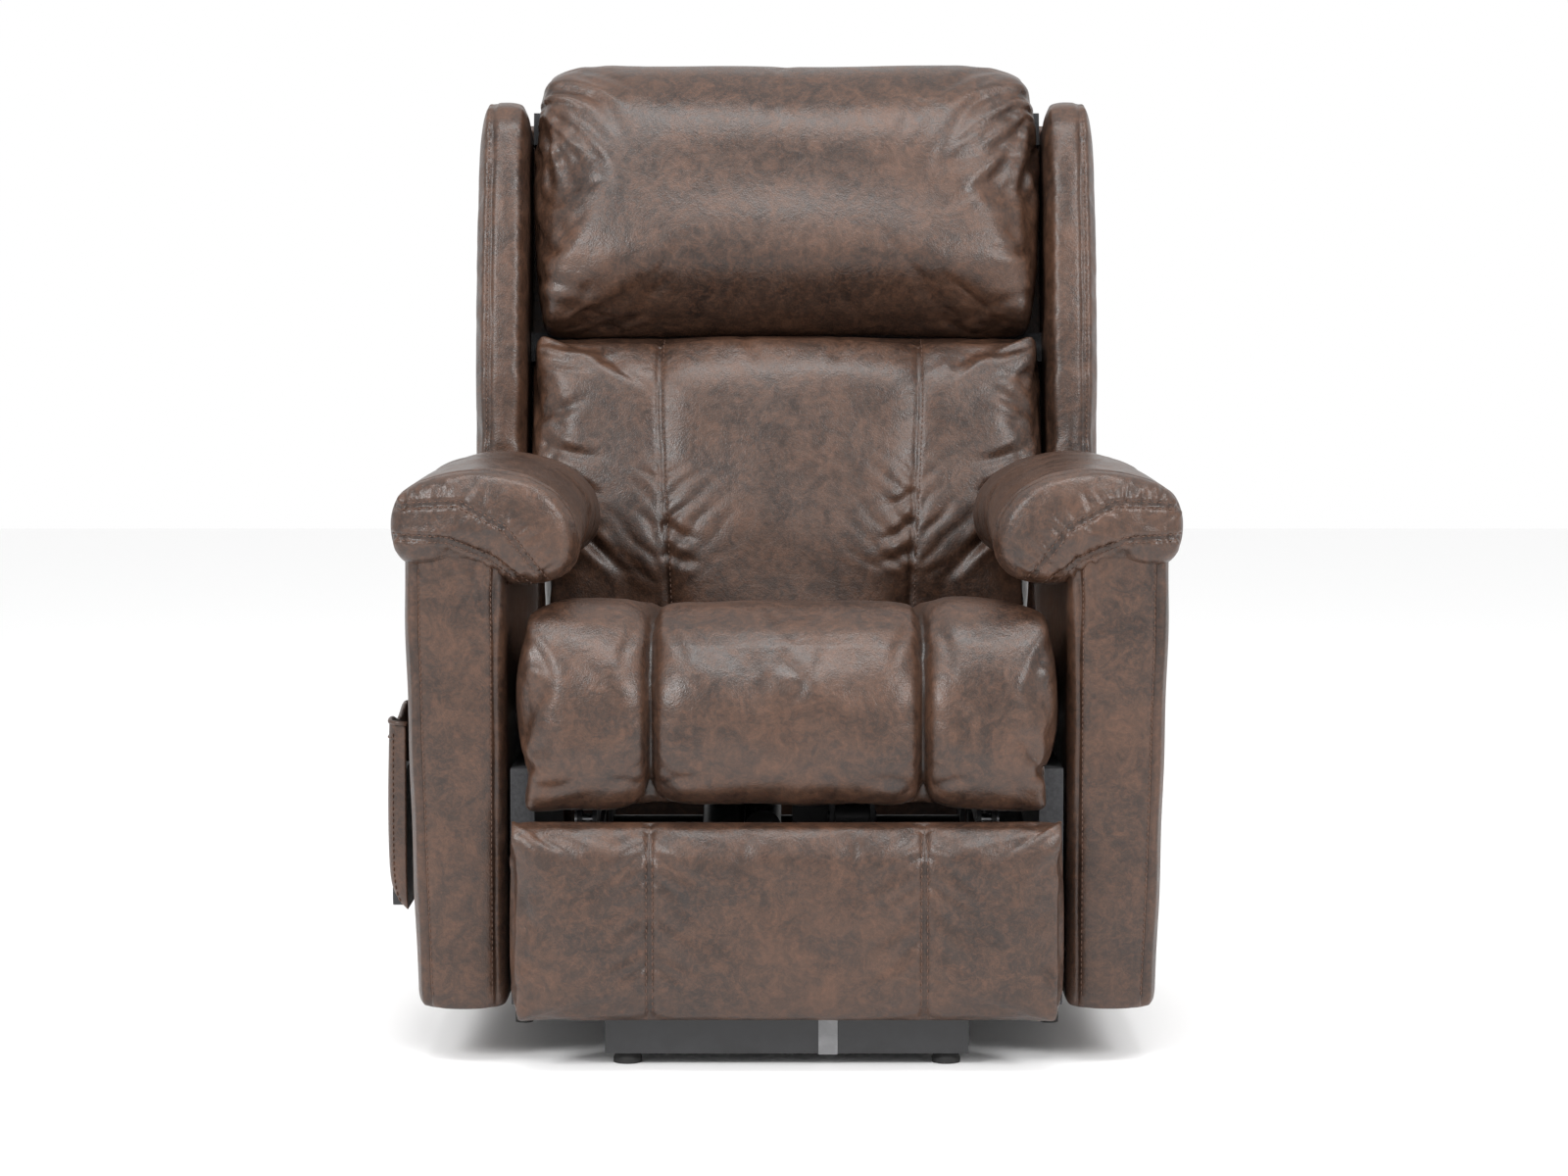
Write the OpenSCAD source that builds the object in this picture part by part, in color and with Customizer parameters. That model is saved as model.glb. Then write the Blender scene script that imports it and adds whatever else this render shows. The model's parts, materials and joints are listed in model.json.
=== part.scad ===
// Lift recliner chair. Front faces -Y, up is +Z, millimetres.
// The origin is on the floor, under the middle of the chair.

/* [Chair] */
// Half width over the arm pads
pad_out = 413; // [411:1:416]
// Height of the arm pads' crown
pad_top = 626; // [620:1:632]
// Height of the head pillow's crown along the back
crown = 745; // [740:1:750]
// Lean of the back at rest, degrees
lean = 14; // [14:1:14]

/* [Arms] */
// Inner face of the arm
arm_in = 292; // [292:1:296]
// Outer face of the arm
arm_out = 400; // [399:1:402]
// Height of the arm box
arm_top = 570; // [568:1:572]
// Wall of the padded arm shell
arm_wall = 10; // [8:1:12]

/* [Seat and footrest] */
// Half width of the seat cushion
seat_hw = 288; // [280:1:288]
// Half width of the footrest cushion
foot_hw = 288; // [280:1:288]

/* [Base] */
// Side of the square base tube
tube = 38; // [36:1:40]
// Wall of the base tube
tube_wall = 2; // [1.5:0.5:3]
// Height of the rubber feet
foot_h = 12; // [12:1:12]

/* [Fits] */
// Radial running clearance in the pivots
run = 0.05; // [0.02:0.01:0.1]
// Radial clearance of the open guide pivot
open_fit = 1.6; // [1.5:0.1:2.5]

/* [Hidden] */
$fn = 48;
// Pivots, as [y, z]
B1 = [-330, 70];      // lift link on the base
B2 = [-319.4, 113.8]; // guide link on the base
C1 = [0, 115];        // lift link on the side plate
C2 = [140, 245];      // guide link on the side plate
LQ = [-260, 170];     // lift lever tube
LP = [130, 65];       // lift actuator on the base
R0 = [150, 365];      // back hinge
BP = [-270, 245];     // back actuator on the seat frame
BQ = [165, 268];      // back lever tube
O1 = [-330, 250];     // footrest main link on the seat frame
J1 = [-340, 78];      // main link to outer link
J2 = [-375, 200];     // outer link to footrest
FP = [0, 245];        // footrest actuator on the seat frame
FQ = [-330, 190];     // footrest lever tube
TF = [-270, 288];     // front cross tube
TR = [60, 190];       // rear cross tube
ACTX = [0, 70, -70];  // actuator planes: lift, back, footrest
leather = [0.30, 0.20, 0.15];

function bw(p) = [R0[0] + p[0]*cos(lean) + p[1]*sin(lean), R0[1] - p[0]*sin(lean) + p[1]*cos(lean)];
function dist(p, q) = norm([q[0]-p[0], q[1]-p[1]]);
function dir(p, q) = atan2(q[1]-p[1], q[0]-p[0]);

// helpers -------------------------------------------------------------
module both() { children(); mirror([1, 0, 0]) children(); }
// a side-view outline (y, z) given thickness from x0 to x1
module plate(x0, x1) translate([x0, 0, 0]) rotate([90, 0, 90]) linear_extrude(x1 - x0) children();
module eye(p, r) translate(p) circle(r);
module bar(p, q, w) translate(p) rotate(dir(p, q)) translate([0, -w/2]) square([dist(p, q), w]);
module pin(p, x0, x1, r) translate([x0, p[0], p[1]]) rotate([0, 90, 0]) cylinder(r = r, h = x1 - x0);
module block(x0, x1, y0, y1, z0, z1) translate([x0, y0, z0]) cube([x1-x0, y1-y0, z1-z0]);
// the back's own frame: hinge at its origin, +Z up along the back
module on_back() translate([0, R0[0], R0[1]]) rotate([-lean, 0, 0]) children();
// an actuator's own frame: rear pivot at its origin, rod along +Y
module on_act(x, p, q) translate([x, p[0], p[1]]) rotate([dir(p, q), 0, 0]) children();
module along_y(y0, y1, r) translate([0, y0, 0]) rotate([-90, 0, 0]) cylinder(r = r, h = y1 - y0);
module act_housing(side) {
    difference() {
        union() {
            translate([-18, 0, 0]) rotate([0, 90, 0]) cylinder(r = 14, h = 36);
            block(-18, 18, 0, 40, -14, 14);
            block(-24, 24, 34, 75, -24, 24);
            block(side > 0 ? 20 : -64, side > 0 ? 64 : -20, 40, 75, -22, 22);
            translate([side*44, 0, 0]) along_y(74, 165, 20);
        }
        translate([-20, 0, 0]) rotate([0, 90, 0]) cylinder(r = 6 + run, h = 40);
    }
}
module act_tube(ro, ri, y1) difference() {
    along_y(75, y1, ro);
    along_y(79, y1 + 1, ri);
}
module act_rod(L, len, r, rt) difference() {
    union() {
        along_y(L - len, L - rt - 2, r);
        translate([-10, L, 0]) rotate([0, 90, 0]) cylinder(r = rt + 7, h = 20);
    }
    translate([-11, L, 0]) rotate([0, 90, 0]) cylinder(r = rt + run, h = 22);
}

// base ----------------------------------------------------------------
module cross(y0) difference() {
    block(-186, 186, y0, y0 + tube, foot_h, foot_h + tube);
    block(-187, 187, y0 + tube_wall, y0 + tube - tube_wall, foot_h + tube_wall, foot_h + tube - tube_wall);
}
module rail() difference() {
    block(148, 186, -357, 150, foot_h, foot_h + tube);
    block(148 + tube_wall, 186 - tube_wall, -358, 151, foot_h + tube_wall, foot_h + tube - tube_wall);
}
module base_front_tube() color([0.05, 0.05, 0.05]) cross(-395);
module base_rear_tube() color([0.05, 0.05, 0.05]) cross(150);
module base_left_rail() color([0.05, 0.05, 0.05]) rail();
module base_right_rail() color([0.05, 0.05, 0.05]) mirror([1, 0, 0]) rail();
module base_feet() color([0.03, 0.03, 0.03]) for (x = [-167, 167]) for (y = [-376, 169])
    translate([x, y, 0]) { cylinder(r = 15, h = 5); translate([0, 0, 5]) cylinder(r1 = 15, r2 = 12, h = foot_h - 5); }
module base_tube_caps() color([0.03, 0.03, 0.03]) both() for (y = [-395, 150]) {
    block(186, 190, y, y + tube, foot_h, foot_h + tube);
    block(170, 186, y + tube_wall, y + tube - tube_wall, foot_h + tube_wall, foot_h + tube - tube_wall);
}
module lift_pivot_brackets() color([0.06, 0.06, 0.06]) both() plate(186, 191) difference() {
    union() {
        polygon([[-352, foot_h + 2], [-292, foot_h + 2], [-296, 60], [-308, 114], [-331, 114], [-350, 70]]);
        eye(B1, 20);
        eye(B2, 12);
    }
    eye(B1, 8 + run);
    eye(B2, 5 + run);
}
module base_pivot_pins() color([0.6, 0.6, 0.62]) both() {
    pin(B1, 186, 199, 8);
    pin(B1, 199, 199.8, 10);
    pin(B2, 186, 213, 5);
    pin(B2, 213, 215, 8);
}
module lift_motor_bracket() color([0.06, 0.06, 0.06]) {
    both() plate(21, 26) difference() {
        union() { polygon([[150, foot_h + 2], [150, 50], [142, 76], [118, 76], [116, 60], [130, foot_h + 2]]); eye(LP, 14); }
        eye(LP, 6 + run);
    }
    pin(LP, -26, 26, 6);
}
module tube_strap() color([0.45, 0.45, 0.45]) difference() {
    block(33, 53, -396, -356, foot_h - 1, foot_h + tube + 1);
    block(32, 54, -395, -357, foot_h, foot_h + tube);
}

// lift links ----------------------------------------------------------
module main_lift_links() color([0.06, 0.06, 0.06]) both() plate(193, 198) difference() {
    union() {
        eye(B1, 16); eye(C1, 18); bar(B1, C1, 22);
        eye(LQ, 20); bar([-190, 89], LQ, 26); bar([-120, 98], [-245, 160], 14);
    }
    eye(B1, 8 + run);
    eye(C1, 8 + run);
}
module lift_torque_tube() color([0.06, 0.06, 0.06]) pin(LQ, -193, 193, 12);
module guide_links() color([0.06, 0.06, 0.06]) both() plate(207, 212) difference() {
    union() { eye(B2, 12); eye(C2, 15); bar(B2, C2, 20); }
    eye(B2, 5 + run);
    eye(C2, 6 + open_fit);
}
module lift_motor_housing() color([0.07, 0.07, 0.07]) on_act(ACTX[0], LP, LQ) act_housing(1);
module lift_motor_tube() color([0.35, 0.35, 0.36]) on_act(ACTX[0], LP, LQ) act_tube(22, 18.5, 350);
module lift_motor_rod() color([0.7, 0.7, 0.72]) on_act(ACTX[0], LP, LQ) act_rod(dist(LP, LQ), 300, 11, 12);

// seat frame ----------------------------------------------------------
module side_shape() difference() {
    union() {
        polygon([[-372, 284], [-372, 306], [-252, 306], [-236, 279], [-140, 277], [123, 261], [132, 365], [168, 365],
            [154, 244], [146, 232], [76, 178], [12, 104], [-12, 126], [30, 196], [20, 236], [-140, 247],
            [-262, 247], [-330, 236], [-342, 260]]);
        eye(O1, 18); eye(C2, 19); eye(C1, 19); eye(R0, 22);
    }
    eye(O1, 6 + run); eye(TF, 12 + run); eye(C2, 6 + run); eye(C1, 8 + run); eye(R0, 8 + run);
}
module side_plate_left() color([0.06, 0.06, 0.06]) plate(200, 205) side_shape();
module side_plate_right() color([0.06, 0.06, 0.06]) mirror([1, 0, 0]) plate(200, 205) side_shape();
module front_cross_tube() color([0.06, 0.06, 0.06]) {
    pin(TF, -264, 264, 12);
    for (s = [-1, 1]) plate(ACTX[1] + (s > 0 ? 19 : -24), ACTX[1] + (s > 0 ? 24 : -19))
        difference() { union() { eye(BP, 13); bar(TF, BP, 26); } eye(BP, 6 + run); }
    pin(BP, ACTX[1] - 26, ACTX[1] + 26, 6);
}
module rear_cross_tube() color([0.06, 0.06, 0.06]) {
    pin(TR, -200, 200, 12);
    for (s = [-1, 1]) plate(ACTX[2] + (s > 0 ? 19 : -24), ACTX[2] + (s > 0 ? 24 : -19))
        difference() { union() { eye(FP, 13); bar(TR, FP, 26); } eye(FP, 6 + run); }
    pin(FP, ACTX[2] - 26, ACTX[2] + 26, 6);
}
module carriage_pivot_pins() color([0.6, 0.6, 0.62]) both() {
    pin(C1, 192, 205, 8);
    pin(C2, 200, 213, 6);
    pin(C2, 213, 215, 10);
    pin(R0, 190, 205, 8);
    pin(O1, 200, 222, 6);
    pin(O1, 222, 224, 9);
}
module seat_side_boards() color([0.72, 0.58, 0.40]) both() difference() {
    plate(264, 289) polygon([[-375, 60], [150, 60], [150, 240], [120, 309], [-375, 309]]);
    for (y = [-300, -100, 100]) pin([y, 84], 263, 290, 4 + run);
}
module seat_front_rail() color([0.72, 0.58, 0.40]) block(-200, 200, -380, -358, 283, 309);
module seat_rear_rail() color([0.06, 0.06, 0.06]) block(-264, 264, 60, 84, 301, 309);
module seat_spring_deck() color([0.2, 0.2, 0.2]) block(-264, 264, -380, 84, 309, 311.5);
module seat_cushion() color(leather) plate(-seat_hw, seat_hw) polygon([[85, 312], [85, 430], [60, 442],
    [-150, 462], [-330, 482], [-380, 488], [-408, 480], [-426, 455], [-436, 420], [-438, 340], [-430, 297],
    [-415, 273], [-398, 268], [-392, 273], [-390, 312]]);
module arm_plan(g) {

    translate([arm_in + g, -363 + g]) square([arm_out - arm_in - 2*g, 528 - 2*g]);
    translate([arm_in + 22 , -385 + g]) square([arm_out - arm_in - 44, 40]);
    for (x = [arm_in + 22, arm_out - 22]) translate([x, -363]) circle(22 - g);
}
module arm() difference() {
    translate([0, 0, 53]) linear_extrude(arm_top - 53) arm_plan(0);
    translate([0, 0, 53 + arm_wall]) linear_extrude(arm_top - 53 - 2*arm_wall) arm_plan(arm_wall);
    for (y = [-300, -100, 100]) pin([y, 84], arm_in - 1, arm_in + arm_wall + 2, 4 + run);
}
module arm_left() color(leather) arm();
module arm_right() color(leather) mirror([1, 0, 0]) arm();
module arm_frames() color([0.72, 0.58, 0.40]) both() difference() {
    union() {
        block(304, 342, -350, 152, 65, 103);
        block(304, 342, -350, 152, 520, 558);
        block(304, 342, -350, -310, 103, 520);
        block(304, 342, 112, 152, 103, 520);
        block(344, 348, -350, 152, 66, 557);
        block(342, 344, -350, -310, 66, 557);
        block(342, 344, 112, 152, 66, 557);
    }
    for (y = [-300, -100, 100]) pin([y, 84], 303, 331, 4 + run);
}
module arm_bolts() color([0.6, 0.6, 0.62]) both() for (y = [-300, -100, 100]) {
    pin([y, 84], 264, 330, 4);
    pin([y, 84], 259, 264, 8);
}
module pad() difference() {
    translate([0, 110, 0]) rotate([90, 0, 0]) linear_extrude(512)
        polygon([[340, 512], [385, 518], [pad_out - 6, 526], [pad_out, 545], [pad_out, 572], [405, 598], [385, 614],
            [350, 624], [310, pad_top], [270, 619], [240, 602], [222, 575], [216, 545], [219, 520], [232, 503],
            [252, 498], [280, 500]]);
    block(arm_in - 0.5, 401, -386, 112, 480, arm_top);
}
module arm_pad_left() color(leather) pad();
module arm_pad_right() color(leather) mirror([1, 0, 0]) pad();
module side_pocket() color(leather) difference() {
    block(-425, -400, -320, -110, 150, 350);
    block(-422.5, -401.5, -317.5, -112.5, 152.5, 351);
}
module rear_skirt() color(leather) difference() {
    block(-289, 289, 150, 160, 60, 222);
    block(-262, -220, 149, 161, 104, 136);
}
module power_inlet() color([0.05, 0.05, 0.05]) difference() {
    block(-262, -220, 148, 163, 104, 136);
    block(-254, -228, 152, 164, 112, 128);
}
module frame_glides() color([0.04, 0.04, 0.04]) both() for (y = [-336, 120]) {
    translate([278, y, 35]) cylinder(r = 9.5, h = 10);
    translate([278, y, 45]) cylinder(r = 6, h = 15);
}
module power_box() color([0.08, 0.08, 0.08]) difference() {
    block(224, 264, -60, 80, 150, 225);
    block(223, 227, -40, 60, 165, 210);
}

// handset -------------------------------------------------------------
module handset_body() color([0.08, 0.08, 0.08]) difference() {
    union() {
        block(-420, -404, -304, -250, 160, 296);
        block(-420, -404, -297, -257, 153.3, 303);
        for (y = [-297, -257]) for (z = [160, 296]) pin([y, z], -420, -404, 6.7);
    }
    for (z = [240, 270]) pin([-277, z], -421, -416.4, 8.2);
}
module button(z) pin([-277, z], -421.2, -418.2, 8);
module handset_button_up() color([0.35, 0.35, 0.36]) button(270);
module handset_button_down() color([0.35, 0.35, 0.36]) button(240);

// back ----------------------------------------------------------------
module back_frame() color([0.72, 0.58, 0.40]) on_back() {
    both() block(197, 233, 40, 75, 4, 690);
    block(-308, 308, 42, 73, 650, 690);
    block(-308, 308, 42, 73, 380, 415);
    block(-191, 191, 42, 73, 60, 100);
}
module back_webbing() color([0.15, 0.15, 0.15]) on_back() block(-190, 190, 34, 37, 55, 690);
module lumbar_cushion() color(leather) on_back() {
    plate(-185, 185) polygon([[32, -40], [32, 50], [-52, 50], [-52, 20], [-46, -22], [-36, -40]]);
    plate(-287, 287) polygon([[32, 50], [32, 215], [-60, 215], [-58, 140], [-52, 50]]);
    plate(-304, 304) polygon([[32, 215], [32, 400], [-44, 400], [-58, 385], [-62, 320], [-60, 215]]);
}
module head_pillow() color(leather) on_back() plate(-304, 304) polygon([[32, 404], [-44, 404], [-66, 418],
    [-79, 465], [-82, 530], [-78, 620], [-66, 690], [-42, 728], [10, crown], [60, 738], [90, 722], [98, 700],
    [98, 692], [32, 692]]);
module wing() on_back() plate(308, 368) polygon([[-12, 150], [-28, 200], [-40, 260], [-53, 330], [-60, 400],
    [-62, 500], [-60, 600], [-50, 655], [-32, 682], [-5, 694], [60, 694], [110, 690], [110, 150]]);
module wing_left() color(leather) wing();
module wing_right() color(leather) mirror([1, 0, 0]) wing();
module back_cover() color(leather) on_back() {
    block(-305, 305, 110, 126, -40, 150);
    block(-368, 368, 110, 126, 150, 692);
    block(-305, 305, 75, 110, 640, 691);
    both() block(273, 287, 34, 110, -40, 150);
}
module back_brackets() color([0.06, 0.06, 0.06]) both() plate(191, 197) difference() {
    union() {
        eye(R0, 18); eye(BQ, 17); bar(R0, BQ, 26);
        bar(R0, bw([57, 40]), 30); eye(bw([57, 40]), 15); bar(bw([57, 40]), bw([57, 260]), 26);
    }
    eye(R0, 8 + run);
}
module back_lever_tube() color([0.06, 0.06, 0.06]) pin(BQ, -191, 191, 12);
module back_motor_housing() color([0.07, 0.07, 0.07]) on_act(ACTX[1], BP, BQ) {
    act_housing(-1);
    act_tube(19.5, 16, 300);
}
module back_motor_rod() color([0.7, 0.7, 0.72]) on_act(ACTX[1], BP, BQ) act_rod(dist(BP, BQ), 285, 11, 12);

// footrest ------------------------------------------------------------
module foot_main_links() color([0.06, 0.06, 0.06]) both() {
    plate(216, 221) difference() {
        union() { eye(O1, 15); eye(J1, 13); bar(O1, J1, 18); eye(FQ, 14); bar(O1, FQ, 22); }
        eye(O1, 6 + run);
        eye(J1, 6);
    }
    pin(J1, 216, 229, 6);
    pin(J1, 229, 230, 8);
}
module foot_lever_tube() color([0.06, 0.06, 0.06]) pin(FQ, -216, 216, 10);
module foot_outer_links() color([0.06, 0.06, 0.06]) both() {
    plate(223, 228) difference() {
        union() { eye(J1, 13); eye(J2, 13); bar(J1, J2, 18); }
        eye(J1, 6 + run);
        eye(J2, 6);
    }
    pin(J2, 223, 236, 6);
    pin(J2, 236, 238, 8);
}
module footrest_brackets() color([0.06, 0.06, 0.06]) both() {
    plate(230.5, 235.5) difference() {
        union() { eye(J2, 13); polygon([[-399, 170], [-399, 232], [-375, 213], [-375, 187]]); }
        eye(J2, 6 + run);
    }
    block(235.5, 262, -399, -395, 170, 232);
}
module footrest_board() color([0.72, 0.58, 0.40]) block(-270, 270, -411, -399, 62, 255);
module footrest_cushion() color(leather) plate(-foot_hw, foot_hw) polygon([[-411, 50], [-436, 51], [-446, 60],
    [-448, 80], [-448, 230], [-445, 248], [-434, 259], [-411, 260]]);
module foot_motor_housing() color([0.07, 0.07, 0.07]) on_act(ACTX[2], FP, FQ) {
    act_housing(1);
    act_tube(22.5, 19, 230);
}
module foot_motor_rod() color([0.7, 0.7, 0.72]) on_act(ACTX[2], FP, FQ) act_rod(dist(FP, FQ), 235, 11, 10);

base_front_tube();
base_rear_tube();
base_left_rail();
base_right_rail();
base_feet();
base_tube_caps();
lift_pivot_brackets();
base_pivot_pins();
lift_motor_bracket();
tube_strap();
main_lift_links();
lift_torque_tube();
guide_links();
lift_motor_housing();
lift_motor_tube();
lift_motor_rod();
side_plate_left();
side_plate_right();
front_cross_tube();
rear_cross_tube();
carriage_pivot_pins();
seat_side_boards();
seat_front_rail();
seat_rear_rail();
seat_spring_deck();
seat_cushion();
arm_frames();
arm_left();
arm_right();
arm_pad_left();
arm_pad_right();
side_pocket();
rear_skirt();
frame_glides();
power_box();
power_inlet();
arm_bolts();
handset_body();
handset_button_up();
handset_button_down();
back_frame();
back_webbing();
lumbar_cushion();
head_pillow();
wing_left();
wing_right();
back_cover();
back_brackets();
back_lever_tube();
back_motor_housing();
back_motor_rod();
foot_main_links();
foot_lever_tube();
foot_outer_links();
footrest_brackets();
footrest_board();
footrest_cushion();
foot_motor_housing();
foot_motor_rod();
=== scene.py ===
import math, json
import bpy, bmesh
import numpy as np
from mathutils import Vector, Matrix
from mathutils.bvhtree import BVHTree


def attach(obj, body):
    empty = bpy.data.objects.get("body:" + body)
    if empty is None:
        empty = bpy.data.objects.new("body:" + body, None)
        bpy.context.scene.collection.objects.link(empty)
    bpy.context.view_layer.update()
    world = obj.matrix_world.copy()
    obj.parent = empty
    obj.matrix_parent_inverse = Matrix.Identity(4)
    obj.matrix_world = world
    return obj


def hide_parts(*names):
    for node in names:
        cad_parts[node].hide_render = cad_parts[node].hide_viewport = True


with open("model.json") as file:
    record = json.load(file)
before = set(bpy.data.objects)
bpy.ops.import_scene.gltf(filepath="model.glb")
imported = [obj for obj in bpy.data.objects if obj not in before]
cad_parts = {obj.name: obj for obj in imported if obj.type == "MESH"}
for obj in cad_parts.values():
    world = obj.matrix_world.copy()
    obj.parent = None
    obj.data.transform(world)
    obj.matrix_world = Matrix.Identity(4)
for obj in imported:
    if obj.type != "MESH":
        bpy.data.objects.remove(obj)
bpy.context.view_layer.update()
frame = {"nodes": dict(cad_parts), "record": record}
scene = bpy.context.scene
rng = np.random.RandomState(7)
MM = 0.001

# ---------------------------------------------------------------- materials
def mat_new(name):
    m = bpy.data.materials.new(name)
    m.use_nodes = True
    nt = m.node_tree
    return m, nt, nt.nodes["Principled BSDF"]

def ramp(nt, stops):
    r = nt.nodes.new("ShaderNodeValToRGB")
    e = r.color_ramp.elements
    while len(e) < len(stops):
        e.new(0.5)
    for k, (p, c) in zip(e, stops):
        k.position = p
        k.color = (*c, 1) if len(c) == 3 else c
    return r

def noise(nt, co, scale, detail=4, rough=0.5, dist=0.0):
    n = nt.nodes.new("ShaderNodeTexNoise")
    n.inputs["Scale"].default_value = scale
    n.inputs["Detail"].default_value = detail
    n.inputs["Roughness"].default_value = rough
    n.inputs["Distortion"].default_value = dist
    nt.links.new(co, n.inputs["Vector"])
    return n

def mixc(nt, f, a, b, mode="MIX"):
    m = nt.nodes.new("ShaderNodeMix")
    m.data_type = "RGBA"
    m.blend_type = mode
    m.clamp_factor = True
    if isinstance(f, float):
        m.inputs[0].default_value = f
    else:
        nt.links.new(f, m.inputs[0])
    for s, v in ((6, a), (7, b)):
        if isinstance(v, tuple):
            m.inputs[s].default_value = (*v, 1)
        else:
            nt.links.new(v, m.inputs[s])
    return m.outputs[2]

def math_n(nt, op, a, b=None, clamp=False):
    m = nt.nodes.new("ShaderNodeMath")
    m.operation = op
    m.use_clamp = clamp
    for s, v in ((0, a), (1, b)):
        if v is None:
            continue
        if isinstance(v, (int, float)):
            m.inputs[s].default_value = v
        else:
            nt.links.new(v, m.inputs[s])
    return m.outputs[0]

def leather_mat():
    m, nt, b = mat_new("distressed_leather")
    co = nt.nodes.new("ShaderNodeTexCoord").outputs["Object"]
    big = noise(nt, co, 7.5, 5, 0.62, 0.5)
    mid = noise(nt, co, 34, 6, 0.72, 1.1)
    fine = noise(nt, co, 150, 5, 0.72, 0.8)
    patch = math_n(nt, "ADD", math_n(nt, "MULTIPLY", big.outputs[0], 0.42), math_n(nt, "MULTIPLY", mid.outputs[0], 0.58))
    base = ramp(nt, [(0.36, (0.0165, 0.0098, 0.0074)), (0.47, (0.030, 0.0165, 0.0112)), (0.58, (0.052, 0.0262, 0.0160)), (0.72, (0.078, 0.037, 0.0215))])
    nt.links.new(patch, base.inputs[0])
    fl = ramp(nt, [(0.46, (0, 0, 0)), (0.66, (1, 1, 1))])
    nt.links.new(fine.outputs[0], fl.inputs[0])
    rust = mixc(nt, math_n(nt, "MULTIPLY", fl.outputs[0], 0.42), base.outputs[0], (0.098, 0.044, 0.025))
    # fine crackle veins of lighter rust
    vo = nt.nodes.new("ShaderNodeTexVoronoi")
    vo.feature = "DISTANCE_TO_EDGE"
    vo.inputs["Scale"].default_value = 85
    warp = nt.nodes.new("ShaderNodeVectorMath"); warp.operation = "MULTIPLY_ADD"
    warp.inputs[1].default_value = (0.05, 0.05, 0.05)
    nt.links.new(mid.outputs["Color"], warp.inputs[0]); nt.links.new(co, warp.inputs[2])
    nt.links.new(warp.outputs[0], vo.inputs["Vector"])
    vr = ramp(nt, [(0.0, (1, 1, 1)), (0.075, (0, 0, 0))])
    nt.links.new(vo.outputs["Distance"], vr.inputs[0])
    veinmask = ramp(nt, [(0.46, (0, 0, 0)), (0.60, (1, 1, 1))])
    nt.links.new(mid.outputs[0], veinmask.inputs[0])
    vein = math_n(nt, "MULTIPLY", math_n(nt, "MULTIPLY", vr.outputs[0], veinmask.outputs[0]), 0.38)
    col = mixc(nt, vein, rust, (0.125, 0.058, 0.033))
    # worn edges lighter on convex ridges; painted shade darkens the creases and hollows
    geo = nt.nodes.new("ShaderNodeNewGeometry")
    pt = ramp(nt, [(0.50, (0, 0, 0)), (0.60, (1, 1, 1))])
    nt.links.new(geo.outputs["Pointiness"], pt.inputs[0])
    col = mixc(nt, math_n(nt, "MULTIPLY", pt.outputs[0], 0.25), col, (0.080, 0.042, 0.027))
    # painted shade: low pointiness (creases, hollows) is mixed toward near black
    crease_shade_ramp = ramp(nt, [(0.40, (1, 1, 1)), (0.49, (0, 0, 0))])
    nt.links.new(geo.outputs["Pointiness"], crease_shade_ramp.inputs[0])
    col = mixc(nt, math_n(nt, "MULTIPLY", crease_shade_ramp.outputs[0], 0.6), col, (0.012, 0.007, 0.005))
    nt.links.new(col, b.inputs["Base Color"])
    ro = ramp(nt, [(0.35, (0.30,) * 3), (0.65, (0.43,) * 3)])
    nt.links.new(mid.outputs[0], ro.inputs[0])
    nt.links.new(ro.outputs[0], b.inputs["Roughness"])
    b.inputs["Specular IOR Level"].default_value = 0.5
    b.inputs["IOR"].default_value = 1.46
    # grain: pebbles and long shallow creases
    pv = nt.nodes.new("ShaderNodeTexVoronoi")
    pv.inputs["Scale"].default_value = 520
    nt.links.new(co, pv.inputs["Vector"])
    long = noise(nt, co, 46, 4, 0.6, 1.4)
    h = math_n(nt, "ADD", math_n(nt, "MULTIPLY", pv.outputs["Distance"], 0.35), math_n(nt, "MULTIPLY", long.outputs[0], 1.3))
    h = math_n(nt, "ADD", h, math_n(nt, "MULTIPLY", fine.outputs[0], 0.6))
    bp = nt.nodes.new("ShaderNodeBump")
    bp.inputs["Strength"].default_value = 0.42
    bp.inputs["Distance"].default_value = 0.0011
    nt.links.new(h, bp.inputs["Height"])
    nt.links.new(bp.outputs[0], b.inputs["Normal"])
    return m

def simple_mat(name, col_a, col_b, rough_a, rough_b, metal=0.0, scale=60, bump=0.2, dist=0.0004, spec=0.5, stretch=None):
    m, nt, b = mat_new(name)
    co = nt.nodes.new("ShaderNodeTexCoord").outputs["Object"]
    if stretch:
        mp = nt.nodes.new("ShaderNodeMapping")
        mp.inputs["Scale"].default_value = stretch
        nt.links.new(co, mp.inputs["Vector"])
        co = mp.outputs[0]
    n = noise(nt, co, scale, 5, 0.6, 0.3)
    n2 = noise(nt, co, scale * 7, 3, 0.5)
    c = ramp(nt, [(0.35, col_a), (0.65, col_b)])
    nt.links.new(n.outputs[0], c.inputs[0])
    nt.links.new(c.outputs[0], b.inputs["Base Color"])
    r = ramp(nt, [(0.3, (rough_a,) * 3), (0.7, (rough_b,) * 3)])
    nt.links.new(n.outputs[0], r.inputs[0])
    nt.links.new(r.outputs[0], b.inputs["Roughness"])
    b.inputs["Metallic"].default_value = metal
    b.inputs["Specular IOR Level"].default_value = spec
    bp = nt.nodes.new("ShaderNodeBump")
    bp.inputs["Strength"].default_value = bump
    bp.inputs["Distance"].default_value = dist
    nt.links.new(n2.outputs[0], bp.inputs["Height"])
    nt.links.new(bp.outputs[0], b.inputs["Normal"])
    return m

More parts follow.
